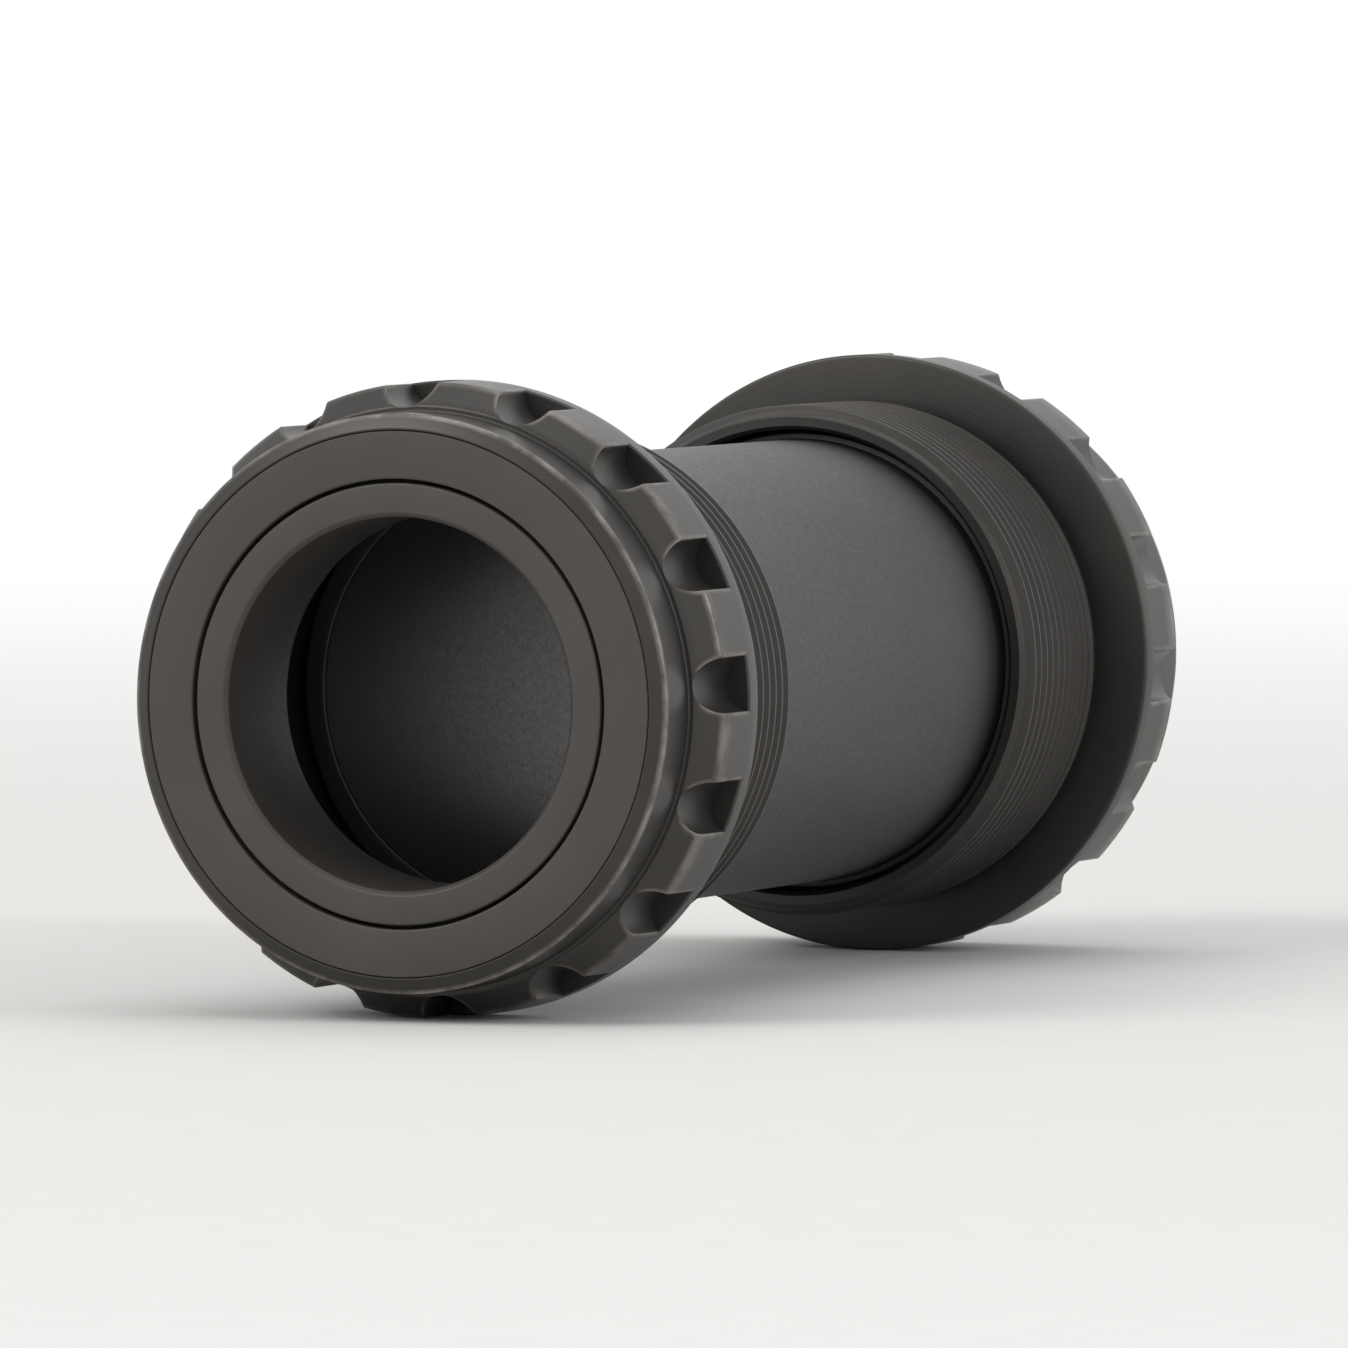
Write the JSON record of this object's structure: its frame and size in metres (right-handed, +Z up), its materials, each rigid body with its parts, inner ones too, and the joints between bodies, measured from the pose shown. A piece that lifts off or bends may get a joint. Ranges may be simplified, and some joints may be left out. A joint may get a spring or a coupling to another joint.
{
  "type": "bottom bracket",
  "caption": "Threaded external-cup bottom bracket: notched alloy cups with sealed ball bearings, spindle bushings, dust covers and an inner sleeve.",
  "frame": {"origin": "on the spindle axis, midway between the two ends of the frame shell", "axes": "+Y along the spindle axis towards the non-drive cup, so the drive cup is on -Y; +X towards the front of the bicycle; +Z up"},
  "size_m": [0.041, 0.09, 0.041],
  "materials": {
    "cup_aluminium": "satin black anodised, light wear on the edges",
    "cover_plastic": "matte moulded",
    "bushing_plastic": "matte moulded",
    "seal_rubber": "matte",
    "race_steel": "ground",
    "ball_steel": "polished",
    "cage_nylon": "moulded nylon",
    "sleeve_plastic": "satin moulded",
    "oring_rubber": "matte"
  },
  "bodies": {
    "cups_and_sleeve": {"drive_cup": "cup_aluminium", "drive_dust_cover": "cover_plastic", "drive_outer_race": "race_steel", "drive_outboard_seal": "seal_rubber", "drive_inboard_seal": "seal_rubber", "drive_sleeve_oring": "oring_rubber", "non_drive_cup": "cup_aluminium", "non_drive_dust_cover": "cover_plastic", "non_drive_outer_race": "race_steel", "non_drive_outboard_seal": "seal_rubber", "non_drive_inboard_seal": "seal_rubber", "non_drive_sleeve_oring": "oring_rubber", "inner_sleeve": "sleeve_plastic"},
    "drive_rotor": {"drive_spindle_bushing": "bushing_plastic", "drive_lip_seal": "seal_rubber", "drive_inner_race": "race_steel"},
    "drive_ball_train": {"drive_bearing_balls": "ball_steel", "drive_ball_cage": "cage_nylon"},
    "non_drive_rotor": {"non_drive_spindle_bushing": "bushing_plastic", "non_drive_lip_seal": "seal_rubber", "non_drive_inner_race": "race_steel"},
    "non_drive_ball_train": {"non_drive_bearing_balls": "ball_steel", "non_drive_ball_cage": "cage_nylon"}
  },
  "joints": [
    {"name": "drive_spindle_spin", "type": "hinge", "parent": "cups_and_sleeve", "child": "drive_rotor", "pos_m": [0, -0.0392, 0], "axis": [0, 1, 0], "continuous": true},
    {"name": "drive_ball_orbit", "type": "hinge", "parent": "cups_and_sleeve", "child": "drive_ball_train", "pos_m": [0, -0.0392, 0], "axis": [0, 1, 0], "continuous": true},
    {"name": "non_drive_spindle_spin", "type": "hinge", "parent": "cups_and_sleeve", "child": "non_drive_rotor", "pos_m": [0, 0.0392, 0], "axis": [0, 1, 0], "continuous": true},
    {"name": "non_drive_ball_orbit", "type": "hinge", "parent": "cups_and_sleeve", "child": "non_drive_ball_train", "pos_m": [0, 0.0392, 0], "axis": [0, 1, 0], "continuous": true}
  ],
  "couplings": [
    {"joint": "drive_ball_orbit", "follows": "drive_spindle_spin", "ratio": 0.44715},
    {"joint": "non_drive_ball_orbit", "follows": "non_drive_spindle_spin", "ratio": 0.44715}
  ]
}
